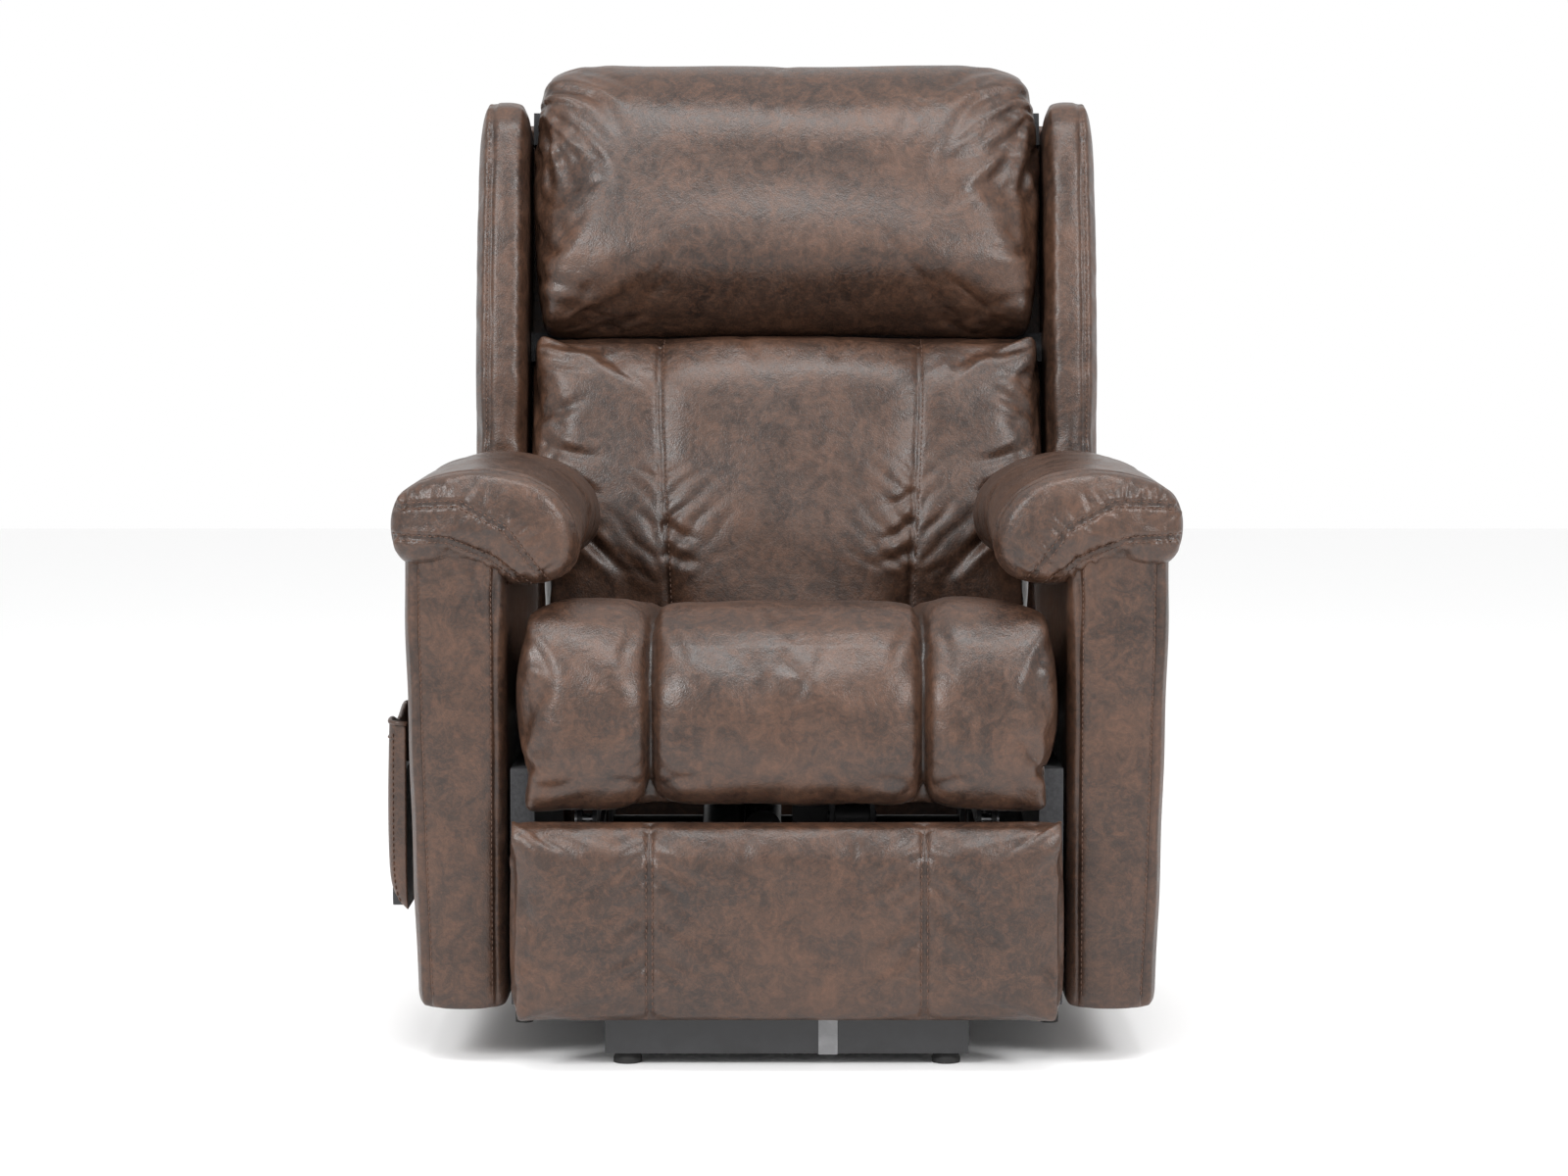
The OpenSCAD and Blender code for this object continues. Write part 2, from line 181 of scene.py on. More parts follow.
LEATHER = leather_mat()
THREAD = simple_mat("thread", (0.050, 0.026, 0.017), (0.11, 0.055, 0.035), 0.55, 0.75, scale=900, bump=0.5, dist=0.0003)
M = {
    "black_steel": simple_mat("powder_coat", (0.012, 0.012, 0.013), (0.022, 0.022, 0.024), 0.38, 0.52, scale=40, bump=0.35, dist=0.0003),
    "rubber": simple_mat("rubber", (0.010, 0.010, 0.010), (0.020, 0.019, 0.018), 0.7, 0.9, scale=80, bump=0.4),
    "black_plastic": simple_mat("moulded_plastic", (0.014, 0.014, 0.015), (0.020, 0.020, 0.021), 0.42, 0.55, scale=120, bump=0.5, dist=0.0002),
    "zinc_steel": simple_mat("zinc", (0.42, 0.42, 0.44), (0.58, 0.58, 0.60), 0.25, 0.42, metal=1.0, scale=30, bump=0.2, dist=0.0002),
    "grey_label": simple_mat("grey_label", (0.16, 0.16, 0.165), (0.24, 0.24, 0.245), 0.5, 0.65, scale=50, bump=0.2),
    "plywood": simple_mat("plywood", (0.36, 0.22, 0.115), (0.58, 0.40, 0.24), 0.6, 0.8, scale=14, bump=0.5, dist=0.0005, stretch=(1.0, 1.0, 9.0)),
    "webbing": simple_mat("webbing", (0.020, 0.020, 0.022), (0.045, 0.045, 0.048), 0.75, 0.9, scale=300, bump=0.8, dist=0.0006),
}
slot_of = {s["node"]: s["material_slot"] for s in frame["record"]["subparts"]}
for n, o in frame["nodes"].items():
    s = slot_of.get(n)
    o.data.materials.clear()
    if n in ("seat_side_boards", "seat_front_rail", "footrest_board", "back_frame"):
        s = "webbing"
    o.data.materials.append(M.get(s, LEATHER))

# ---------------------------------------------------------------- mesh tools
LEAN = math.radians(14)
CL, SL = math.cos(LEAN), math.sin(LEAN)
def to_back(P):
    y = P[:, 1] - 0.150; z = P[:, 2] - 0.365
    return np.stack([P[:, 0], y * CL - z * SL, y * SL + z * CL], 1)
def vec_back(V):
    return np.stack([V[:, 0], V[:, 1] * CL - V[:, 2] * SL, V[:, 1] * SL + V[:, 2] * CL], 1)
def from_back(Q):
    return np.stack([Q[:, 0], 0.150 + Q[:, 1] * CL + Q[:, 2] * SL, 0.365 - Q[:, 1] * SL + Q[:, 2] * CL], 1)

def get(me):
    a = np.empty(len(me.vertices) * 3); me.vertices.foreach_get("co", a)
    return a.reshape(-1, 3)
def normals(me):
    a = np.empty(len(me.vertices) * 3); me.vertices.foreach_get("normal", a)
    return a.reshape(-1, 3)
def put(me, P):
    me.vertices.foreach_set("co", P.ravel()); me.update()
def obj_from(name, me):
    o = bpy.data.objects.new(name, me)
    scene.collection.objects.link(o)
    return o
def mesh_obj(name, verts, faces):
    me = bpy.data.meshes.new(name)
    me.from_pydata([tuple(v) for v in verts], [], faces)
    me.validate(); me.update()
    bm = bmesh.new(); bm.from_mesh(me); bmesh.ops.recalc_face_normals(bm, faces=bm.faces); bm.to_mesh(me); bm.free()
    return obj_from(name, me)
def bake(o):
    dg = bpy.context.evaluated_depsgraph_get()
    me = bpy.data.meshes.new_from_object(o.evaluated_get(dg))
    old = o.data
    o.modifiers.clear()
    o.data = me
    bpy.data.meshes.remove(old)
    return o
def remesh(o, vox):
    r = o.modifiers.new("r", "REMESH"); r.mode = "VOXEL"; r.voxel_size = vox
    return bake(o)
def subdiv(o, n=1):
    s = o.modifiers.new("s", "SUBSURF"); s.levels = n; s.render_levels = n
    return bake(o)
def relax(o, it, f=0.5):
    s = o.modifiers.new("l", "SMOOTH"); s.factor = f; s.iterations = it
    return bake(o)
def shade(o, mat=None):
    for p in o.data.polygons:
        p.use_smooth = True
    o.data.materials.clear()
    o.data.materials.append(mat or LEATHER)
    return o

def copy_node(node, name):
    return obj_from(name, frame["nodes"][node].data.copy())

def puff(o, cap, pressure=4.0, pin=None, frames=20):
    """inflate a closed mesh as sewn fabric; a point moves at most cap metres"""
    P0 = get(o.data)
    if pin is not None:
        vg = o.vertex_groups.new(name="pin")
        idx = np.nonzero(pin(P0))[0].tolist()
        vg.add(idx, 1.0, "REPLACE")
    c = o.modifiers.new("c", "CLOTH")
    st = c.settings
    st.quality = 4
    st.mass = 0.35
    st.tension_stiffness = 14; st.compression_stiffness = 14; st.shear_stiffness = 5; st.bending_stiffness = 0.6
    st.use_pressure = True
    st.uniform_pressure_force = pressure
    st.effector_weights.gravity = 0
    st.air_damping = 2
    if pin is not None:
        st.vertex_group_mass = "pin"
    c.collision_settings.use_collision = False
    c.collision_settings.use_self_collision = False
    for f in range(1, frames + 1):
        scene.frame_set(f)
    bake(o)
    scene.frame_set(1)
    o.vertex_groups.clear()
    P1 = get(o.data)
    if len(P1) == len(P0):
        D = P1 - P0
        L = np.linalg.norm(D, axis=1, keepdims=True) + 1e-9
        D *= np.minimum(1, cap * np.tanh(L / cap) / L)
        put(o.data, P0 + D)
    return o

def fit(o, node, back=False, grow=(0, 0, 0), shape=None):
    """stretch a relaxed piece back to its CAD solid's box, in the back's frame for the back"""
    P = get(o.data)
    R = get(frame["nodes"][node].data) if shape is None else shape
    if back:
        P = to_back(P); R = to_back(R)
    lo, hi = P.min(0), P.max(0)
    l2, h2 = R.min(0) - np.array(grow), R.max(0) + np.array(grow)
    P = l2 + (P - lo) * (h2 - l2) / (hi - lo)
    put(o.data, from_back(P) if back else P)
    return o

def seg_dist(P, pts):
    """distance of 2-D points P to a polyline, and the share of its length at the nearest point"""
    pts = np.array(pts, float)
    best = np.full(len(P), 1e9); tt = np.zeros(len(P))
    L = np.r_[0, np.cumsum(np.linalg.norm(np.diff(pts, axis=0), axis=1))]
    for i in range(len(pts) - 1):
        a, b = pts[i], pts[i + 1]; d = b - a; l2 = d @ d + 1e-12
        t = np.clip(((P - a) @ d) / l2, 0, 1)
        q = a + t[:, None] * d
        r = np.linalg.norm(P - q, axis=1)
        k = r < best
        best[k] = r[k]; tt[k] = (L[i] + t[k] * math.sqrt(l2)) / L[-1]
    return best, tt

def crease(P, pts, w, d, ridge=0.35, taper=(0.0, 0.0), bend=True):
    """fold along a polyline in mm: d deep, w wide, with soft ridges beside it"""
    pts = np.array(pts, float) * MM; w *= MM; d *= MM
    lo = pts.min(0) - 4 * w; hi = pts.max(0) + 4 * w
    out = np.zeros(len(P))
    k = np.nonzero(((P > lo) & (P < hi)).all(1))[0]
    if len(k) == 0:
        return out
    if bend and len(pts) == 3:      # smooth bend through the middle point
        t = np.linspace(0, 1, 9)[:, None]
        c = 2 * pts[1] - (pts[0] + pts[2]) / 2
        pts = (1 - t) ** 2 * pts[0] + 2 * t * (1 - t) * c + t ** 2 * pts[2]
    r, t = seg_dist(P[k], pts)
    a = np.ones(len(k))
    if taper[0] > 0:
        a *= np.clip(t / taper[0], 0, 1)
    if taper[1] > 0:
        a *= np.clip((1 - t) / taper[1], 0, 1)
    a = a * a * (3 - 2 * a)
    out[k] = a * (-d * np.exp(-(r / w) ** 2) + ridge * d * np.exp(-((r - 1.9 * w) / w) ** 2))
    return out

def many(P, items):
    s = np.zeros(len(P))
    for it in items:
        s += crease(P, *it[:-1], **it[-1]) if isinstance(it[-1], dict) else crease(P, *it)
    return s

def gather(x, z, xs, z0, z1, reach, period, amp, slope=1.0, seed=1):
    """herringbone puckers on both sides of a vertical seam at xs, in metres"""
    r = np.random.RandomState(seed)
    u = np.abs(x - xs)
    side = np.where(x > xs, 1.0, -1.0)
    ph = r.uniform(0, 6.28, 6)
    zz = z + slope * u + 0.004 * np.sin(z * 55 + ph[0]) + 0.0025 * np.sin(z * 140 + ph[1])
    wob = 0.62 + 0.38 * np.sin(z * 31 + ph[2] + side) * np.sin(z * 83 + ph[3] - side)
    env = np.exp(-(u / reach) ** 1.3) * (1 - np.exp(-(u / 0.004) ** 2))
    end = 1 / (1 + np.exp(-(z - z0) / 0.012)) / (1 + np.exp((z - z1) / 0.012))
    return amp * wob * env * end * (np.abs(np.sin(math.pi * zz / period)) * 1.6 - 1.0)

def facing(N, d, lo=0.1, hi=0.6):
    f = N @ np.array(d, float)
    t = np.clip((f - lo) / (hi - lo), 0, 1)
    return t * t * (3 - 2 * t)

# thread: small plump stitches laid along a path on a surface
stitch_sets = {}
def stitches(body, bvh, pts, direction, pitch=7.0, length=4.6, r=0.75, offset=0.0002, closed=False):
    pts = [Vector(p) for p in pts]
    L = [0.0]
    for a, b in zip(pts, pts[1:]):
        L.append(L[-1] + (b - a).length)
    V, F = stitch_sets.setdefault(body, ([], []))
    d = Vector(direction).normalized()
    def at(s):
        for i in range(len(pts) - 1):
            if s <= L[i + 1] or i == len(pts) - 2:
                t = (s - L[i]) / max(L[i + 1] - L[i], 1e-9)
                return pts[i].lerp(pts[i + 1], t)
    def hit(p):
        h, n, _, _ = bvh.ray_cast(p - d * 0.25, d, 0.6)
        return h, n
    s = pitch * MM * 0.5
    while s < L[-1]:
        h0, n0 = hit(at(max(s - length * MM / 2, 0)))
        h1, n1 = hit(at(min(s + length * MM / 2, L[-1])))
        s += pitch * MM
        if h0 is None or h1 is None or (h1 - h0).length > 3 * length * MM:
            continue
        ax = h1 - h0
        n = (n0 + n1).normalized()
        if ax.length < 1e-5:
            continue
        sd = ax.cross(n).normalized()
        k = len(V)
        ring = []
        for t, rr, up in ((0.0, 0.35, -0.4), (0.18, 0.9, 0.25), (0.5, 1.0, 0.6), (0.82, 0.9, 0.25), (1.0, 0.35, -0.4)):
            c = h0 + ax * t + n * (offset + up * r * MM)
            for j in range(6):
                a = j * math.pi / 3
                V.append(c + (sd * math.cos(a) + n * math.sin(a)) * r * MM * rr)
        for q in range(4):
            for j in range(6):
                F.append((k + q * 6 + j, k + q * 6 + (j + 1) % 6, k + (q + 1) * 6 + (j + 1) % 6, k + (q + 1) * 6 + j))
        F.append(tuple(k + j for j in range(5, -1, -1)))
        F.append(tuple(k + 24 + j for j in range(6)))

def bvh_of(o):
    return BVHTree.FromPolygons([v.co for v in o.data.vertices], [p.vertices for p in o.data.polygons])

def tube_obj(name, pts, r, n=8, closed=False):
    """a round bead (piping, wire) along points"""
    pts = [Vector(p) for p in pts]
    V, F = [], []
    m = len(pts)
    up = Vector((0.03, 0.99, 0.05))
    for i, p in enumerate(pts):
        if closed:
            t = pts[(i + 1) % m] - pts[i - 1]
        else:
            t = pts[min(i + 1, m - 1)] - pts[max(i - 1, 0)]
        t.normalize()
        a = t.cross(up)
        if a.length < 1e-4:
            a = t.cross(Vector((1, 0, 0)))
        a.normalize(); b = t.cross(a)
        for j in range(n):
            q = 2 * math.pi * j / n
            V.append(p + (a * math.cos(q) + b * math.sin(q)) * r)
    for i in range(m if closed else m - 1):
        for j in range(n):
            k = (i + 1) % m
            F.append((i * n + j, i * n + (j + 1) % n, k * n + (j + 1) % n, k * n + j))
    if not closed:
        F.append(tuple(range(n - 1, -1, -1)))
        F.append(tuple((m - 1) * n + j for j in range(n)))
    return mesh_obj(name, V, F)

def loft(name, loops):
    V = [p for lp in loops for p in lp]
    n = len(loops[0]); F = []
    for i in range(len(loops) - 1):
        for j in range(n):
            F.append((i * n + j, i * n + (j + 1) % n, (i + 1) * n + (j + 1) % n, (i + 1) * n + j))
    F.append(tuple(range(n - 1, -1, -1)))
    F.append(tuple((len(loops) - 1) * n + j for j in range(n)))
    return mesh_obj(name, V, F)

def done(o, body, nodes):
    shade(o)
    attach(o, body)
    if nodes:
        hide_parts(*nodes)
    return o

VOX = 0.007

# ---------------------------------------------------------------- seat cushion
def make_seat():
    o = copy_node("seat_cushion", "seat_cushion_cover")
    P = get(o.data)
    # start from a slightly smaller shape
    c = P.mean(0)
    P[:, 0] *= 0.978
    put(o.data, P)
    remesh(o, VOX); relax(o, 7)
    puff(o, 0.022, 4.0, pin=lambda P: (P[:, 2] < 0.318) & (P[:, 1] > -0.385))
    fit(o, "seat_cushion", grow=(-0.001, 0, 0.0))
    subdiv(o, 1)
    me = o.data; P = get(me); N = normals(me)
    x, y, z = P.T
    # arc length round the front: distance used as the vertical coordinate of the seams
    front = facing(N, (0, -1, 0), -0.35, 0.2) + 0
    topf = facing(N, (0, 0, 1), 0.2, 0.7)
    soft = np.clip(front + topf, 0, 1)
    d = np.zeros(len(P))
    for xs, s in ((-0.141, 1), (0.141, 2)):
        u = np.abs(x - xs)
        depth = 0.017 * np.exp(-(u / 0.0058) ** 2) + 0.008 * np.exp(-(u / 0.020) ** 2)
        fade = np.clip((y + 0.02) / -0.30, 0, 1) ** 0.5
        fade = np.where(y < 0.0, np.maximum(fade, 0.25), 0.25)
        d -= depth * fade * soft
        # short gathers beside the channels
        d += gather(x, z - y * 0.7, xs, 0.40, 0.74, 0.030, 0.031, 0.0018, slope=0.5, seed=s) * soft * (y < -0.2)
    for xc, hw in ((0, 0.141), (-0.215, 0.073), (0.215, 0.073)):
        u = np.clip(np.abs(x - xc) / hw, 0, 1)
        d += 0.003 * (1 - u ** 4) * soft * (u < 1)
    # soft rolling of the leather
    d += 0.0016 * np.sin(x * 23 + 1.3) * np.sin(z * 31 + x * 9) * soft + 0.0010 * np.sin(x * 61 + z * 47) * soft
    Q = np.stack([x, z], 1)
    fr = (y < -0.30)
    cr = [
        ([(-282, 455), (-255, 430), (-236, 380)], 7, 2.4, dict(taper=(0.1, 0.5))),
        ([(-284, 330), (-262, 318), (-236, 322)], 6, 2.2, dict(taper=(0.1, 0.5))),
        ([(-284, 300), (-250, 296), (-205, 303)], 6, 1.8, dict(taper=(0.1, 0.5))),
        ([(-150, 292), (-170, 302), (-196, 300)], 5, 2.0, dict(taper=(0.1, 0.6))),
        ([(-132, 292), (-105, 306), (-70, 306)], 6, 2.0, dict(taper=(0.1, 0.6))),
        ([(132, 290), (108, 304), (70, 303)], 6, 2.0, dict(taper=(0.1, 0.6))),
        ([(150, 290), (172, 304), (200, 303)], 5, 2.0, dict(taper=(0.1, 0.6))),
        ([(282, 455), (262, 425), (246, 372)], 7, 2.4, dict(taper=(0.1, 0.5))),
        ([(284, 322), (262, 308), (236, 312)], 6, 2.2, dict(taper=(0.1, 0.5))),
        ([(-130, 470), (-112, 440), (-104, 400)], 6, 1.6, dict(taper=(0.1, 0.6))),
        ([(130, 470), (114, 436), (108, 396)], 6, 1.6, dict(taper=(0.1, 0.6))),
        ([(-152, 470), (-166, 440), (-172, 396)], 6, 1.6, dict(taper=(0.1, 0.6))),
        ([(152, 470), (166, 440), (170, 396)], 6, 1.6, dict(taper=(0.1, 0.6))),
    ]
    d += many(Q, cr) * fr * facing(N, (0, -1, 0), -0.2, 0.5)
    # the crown dips between the arms and the sides pull in between corners
    P += N * d[:, None]
    zz = P[:, 2]
    mid = 1 - (P[:, 0] / 0.288) ** 2
    P[:, 2] -= 0.013 * np.clip(mid, 0, 1) * np.clip((zz - 0.44) / 0.05, 0, 1)
    P[:, 0] = np.clip(P[:, 0], -0.2885, 0.2885)
    P[:, 2] = np.where(P[:, 1] > -0.385, np.maximum(P[:, 2], 0.3125), np.maximum(P[:, 2], 0.2665))
    P[:, 1] = np.clip(P[:, 1], -0.4475, 0.0865)
    put(me, P)
    return done(o, "carriage", ["seat_cushion"])

# ---------------------------------------------------------------- footrest
def make_foot():
    o = copy_node("footrest_cushion", "footrest_pad_cover")
    remesh(o, 0.006); relax(o, 6)
    puff(o, 0.010, 4.0, pin=lambda P: P[:, 1] > -0.413)
    fit(o, "footrest_cushion")
    subdiv(o, 1)
    me = o.data; P = get(me); N = normals(me)
    x, y, z = P.T
    f = facing(N, (0, -1, 0), 0.1, 0.6)
    d = np.zeros(len(P))
    for xs, s in ((-0.142, 4), (0.142, 5)):
        u = np.abs(x - xs)
        d -= (0.0042 * np.exp(-(u / 0.0035) ** 2) + 0.003 * np.exp(-(u / 0.02) ** 2)) * f
        d += gather(x, z, xs, 0.075, 0.245, 0.036, 0.029, 0.0031, slope=0.75, seed=s) * f
        d += gather(x, z + 0.008, xs, 0.075, 0.25, 0.060, 0.047, 0.0015, slope=0.55, seed=s + 20) * f
    for xc, hw in ((0, 0.142), (-0.216, 0.074), (0.216, 0.074)):
        u = np.clip(np.abs(x - xc) / hw, 0, 1)
        d += 0.0045 * (1 - u ** 2) * f * (u < 1) * np.clip(np.sin(math.pi * np.clip((z - 0.05) / 0.21, 0, 1)), 0, 1) ** 0.5
    Q = np.stack([x, z], 1)
    cr = [
        ([(-286, 236), (-262, 205), (-250, 160)], 8, 2.6, dict(taper=(0.1, 0.6))),
        ([(-286, 215), (-272, 180), (-268, 130)], 7, 1.8, dict(taper=(0.1, 0.6))),
        ([(-262, 252), (-235, 238), (-205, 232)], 7, 1.8, dict(taper=(0.1, 0.6))),
        ([(286, 230), (262, 200), (254, 150)], 8, 2.6, dict(taper=(0.1, 0.6))),
        ([(280, 70), (250, 90), (236, 130)], 7, 2.0, dict(taper=(0.1, 0.6))),
        ([(-280, 66), (-255, 84), (-243, 120)], 7, 2.0, dict(taper=(0.1, 0.6))),
        ([(60, 250), (66, 225), (60, 190)], 9, 1.2, dict(taper=(0.1, 0.6))),
        ([(-40, 250), (-46, 230), (-44, 200)], 9, 1.2, dict(taper=(0.1, 0.6))),
    ]
    d += many(Q, cr) * f
    d += 0.0009 * np.sin(x * 47 + 2) * np.sin(z * 60 + x * 20) * f
    P += N * d[:, None]
    # bottom corners slightly cut in, top edge rolls under the seat
    k = np.clip((0.085 - P[:, 2]) / 0.03, 0, 1)
    P[:, 0] -= np.sign(P[:, 0]) * k * 0.006 * np.clip((np.abs(P[:, 0]) - 0.25) / 0.03, 0, 1)
    P[:, 1] = np.clip(P[:, 1], -0.4535, -0.4108)
    P[:, 0] = np.clip(P[:, 0], -0.290, 0.290)
    P[:, 2] = np.clip(P[:, 2], 0.0475, 0.2625)
    put(me, P)
    done(o, "footrest", ["footrest_cushion"])
    bv = bvh_of(o)
    for xs in (-0.142, 0.142):
        for dx in (-0.0035, 0.0035):
            stitches("footrest", bv, [(xs + dx, -0.45, 0.062 + 0.0185 * i) for i in range(11)], (0, 1, 0))
    return o

# ---------------------------------------------------------------- back cushions
def make_lumbar():
    o = copy_node("lumbar_cushion", "lumbar_cushion_cover")
    remesh(o, VOX); relax(o, 14)
    puff(o, 0.018, 4.0, pin=lambda P: to_back(P)[:, 1] > 0.026)
    fit(o, "lumbar_cushion", True, grow=(0, 0, 0.001))
    subdiv(o, 1)
    me = o.data; P = get(me); B = to_back(P); NB = vec_back(normals(me))
    x, y, z = B.T
    f = facing(NB, (0, -1, 0), 0.1, 0.6)
    d = np.zeros(len(P))
    for xs, s in ((-0.150, 8), (0.156, 9)):
        xc = xs + np.where(z > 0.3, 0, (0.3 - z) * (0.012 / 0.25) * np.sign(xs) * -1)
        u = np.abs(x - xc)
        d -= (0.0035 * np.exp(-(u / 0.0035) ** 2) + 0.0028 * np.exp(-(u / 0.018) ** 2)) * f
        d += gather(x, -z, xs, -0.225, -0.10, 0.050, 0.030, 0.0034, slope=0.9, seed=s) * f
        d += gather(x, z, xs, 0.22, 0.385, 0.026, 0.036, 0.0009, slope=0.4, seed=s + 3) * f
    u = np.clip(np.abs(x) / 0.15, 0, 1)
    d += 0.006 * (1 - u ** 2) * f
    d += 0.005 * f * np.exp(-((z - 0.16) / 0.07) ** 2)
    Q = np.stack([x, z], 1)
    t = dict(taper=(0.08, 0.6))
    cr = [
        # fans of folds that run out to the arm pads
        ([(-286, 205), (-250, 168), (-206, 146)], 8, 6.0, t),
        ([(-286, 232), (-245, 205), (-196, 192)], 8, 4.6, t),
        ([(-290, 262), (-245, 244), (-200, 240)], 7, 3.4, t),
        ([(-262, 172), (-228, 138), (-186, 120)], 7, 5.2, t),
        ([(-232, 150), (-205, 118), (-170, 100)], 6, 4.2, t),
        ([(-292, 300), (-262, 300), (-225, 318)], 7, 2.6, t),
        ([(-296, 372), (-262, 356), (-215, 352)], 7, 3.0, t),
        ([(-298, 388), (-250, 378), (-190, 380)], 6, 2.6, t),
        ([(286, 205), (252, 164), (208, 142)], 8, 6.0, t),
        ([(286, 232), (246, 206), (198, 190)], 8, 4.8, t),
        ([(292, 262), (250, 240), (205, 232)], 7, 3.4, t),
        ([(262, 172), (228, 140), (188, 124)], 7, 5.2, t),
        ([(234, 150), (204, 116), (172, 98)], 6, 4.2, t),
        ([(292, 300), (264, 310), (230, 330)], 7, 2.4, t),
        ([(298, 386), (250, 372), (195, 374)], 7, 3.0, t),
        ([(296, 352), (270, 340), (240, 346)], 6, 2.2, t),
        ([(150, 170), (128, 148), (96, 140)], 6, 3.2, t),
        ([(152, 136), (126, 120), (92, 116)], 6, 2.8, t),
        ([(152, 205), (132, 186), (104, 182)], 6, 2.4, t),
        ([(-144, 165), (-120, 146), (-92, 142)], 6, 2.8, t),
        ([(-142, 130), (-120, 118), (-90, 116)], 6, 2.4, t),
        ([(-60, 396), (-40, 375), (-36, 345)], 8, 1.6, t),
        ([(70, 396), (58, 372), (62, 340)], 8, 1.6, t),
    ]
    d += many(Q, cr) * f
    d += 0.0011 * np.sin(x * 33 + z * 18) * np.sin(z * 41 - x * 12) * f
    B += NB * d[:, None]
    # clear of the arms low down, of the wings higher up
    lim = np.where(B[:, 2] < 0.212, 0.2885, 0.3055)
    B[:, 0] = np.clip(B[:, 0], -lim, lim)
    B[:, 1] = np.clip(B[:, 1], -0.086, 0.0335)
    low = B[:, 2] < 0.06
    rad = np.hypot(B[:, 1], B[:, 2])
    k = low & (rad > 0.0625) & (B[:, 1] < 0)
    B[k, 1] *= (0.0625 / rad[k]); B[k, 2] *= (0.0625 / rad[k])
    B[:, 2] = np.minimum(B[:, 2], 0.4025)
    put(me, from_back(B))
    done(o, "backrest", ["lumbar_cushion"])
    bv = bvh_of(o)
    dirn = (0, CL, -SL)
    for xs in (-0.150, 0.156):
        pts = []
        for i in range(16):
            z = 0.06 + i * 0.0225
            xc = xs + (0 if z > 0.3 else (0.3 - z) * (0.012 / 0.25) * (-1 if xs > 0 else 1))
            pts.append(from_back(np.array([[xc + 0.0045, -0.07, z]]))[0])
        stitches("backrest", bv, pts, dirn, pitch=6.5, length=4.4, r=0.6)
    return o

def make_pillow():
    o = copy_node("head_pillow", "head_pillow_cover")
    P = get(o.data); P[:, 0] *= 0.99; put(o.data, P)
    remesh(o, VOX); relax(o, 16)
    puff(o, 0.024, 4.0, pin=lambda P: (to_back(P)[:, 1] > 0.026) & (to_back(P)[:, 2] < 0.70))
    fit(o, "head_pillow", True, grow=(0, 0, 0.002))
    subdiv(o, 1)
    me = o.data; P = get(me); B = to_back(P); NB = vec_back(normals(me))
    x, y, z = B.T
    f = facing(NB, (0, -1, 0.25), 0.05, 0.55)
    d = np.zeros(len(P))
    d += 0.010 * np.exp(-((z - 0.475) / 0.05) ** 2) * f * (1 - np.clip(np.abs(x) / 0.3, 0, 1) ** 4)
    d -= 0.006 * np.exp(-((z - 0.575) / 0.05) ** 2) * f * np.clip(1 - np.abs(x) / 0.32, 0, 1)
    Q = np.stack([x, z], 1)
    t = dict(taper=(0.06, 0.65))
    cr = []
    r = np.random.RandomState(11)
    # gathers that fan out of both top corners
    for sgn in (-1, 1):
        for i in range(15):
            a = math.radians(200 + i * 6.4 + r.uniform(-2, 2))
            L = r.uniform(60, 150) * (1.25 if i in (3, 7, 11) else 0.85)
            p0 = np.array([300 - r.uniform(0, 12), 712 - i * 7.0 + r.uniform(-3, 3)])
            dirv = np.array([math.cos(a), math.sin(a)])
            nrm = np.array([-dirv[1], dirv[0]])
            p1 = p0 + dirv * L * 0.5 + nrm * r.uniform(-9, 9)
            p2 = p0 + dirv * L
            pts = [(sgn * p[0], p[1]) for p in (p0, p1, p2)]
            cr.append((pts, r.uniform(3.2, 6.0), r.uniform(1.4, 3.2), dict(taper=(0.04, 0.8), ridge=0.5)))
    cr += [
        ([(240, 690), (190, 620), (170, 540)], 8, 1.8, t), ([(285, 640), (220, 600), (165, 590)], 8, 1.7, t),
        ([(262, 600), (225, 560), (170, 535)], 7, 1.5, t), ([(160, 680), (140, 640), (142, 600)], 8, 1.2, t),
        ([(-262, 640), (-225, 600), (-200, 540)], 7, 1.6, t), ([(-240, 690), (-205, 650), (-190, 600)], 7, 1.4, t),
        ([(-298, 560), (-262, 548), (-222, 552)], 6, 1.6, t), ([(-300, 500), (-272, 492), (-240, 498)], 6, 2.0, t),
        ([(-302, 470), (-262, 450), (-212, 446)], 6, 2.2, t), ([(-296, 436), (-250, 424), (-190, 424)], 6, 2.0, t),
        ([(300, 500), (266, 488), (226, 494)], 6, 2.0, t), ([(298, 446), (255, 432), (205, 432)], 6, 2.2, t),
        ([(90, 425), (70, 440), (66, 470)], 7, 1.5, t), ([(-70, 424), (-56, 444), (-60, 472)], 7, 1.4, t),
        ([(10, 424), (16, 440), (8, 460)], 6, 1.2, t),
    ]
    d += many(Q, cr) * np.clip(facing(NB, (0, -1, 0), -0.25, 0.35), 0, 1)
    d += 0.0013 * np.sin(x * 19 + z * 14) * np.sin(z * 27 - x * 10 + 1)
    B += NB * d[:, None]
    # top outer corners drop and round, the crown stays straight
    k = np.clip((np.abs(B[:, 0]) - 0.205) / 0.10, 0, 1)
    B[:, 2] -= 0.030 * k ** 2.2 * np.clip((B[:, 2] - 0.62) / 0.12, 0, 1)
    lim = np.where(B[:, 2] > 0.694, 0.318, 0.3065)
    B[:, 0] = np.clip(B[:, 0], -lim, lim)
    B[:, 2] = np.clip(B[:, 2], 0.4028, 0.752)
    B[:, 1] = np.where(B[:, 2] < 0.689, np.minimum(B[:, 1], 0.0335), np.minimum(B[:, 1], 0.108))
    put(me, from_back(B))
    return done(o, "backrest", ["head_pillow"])

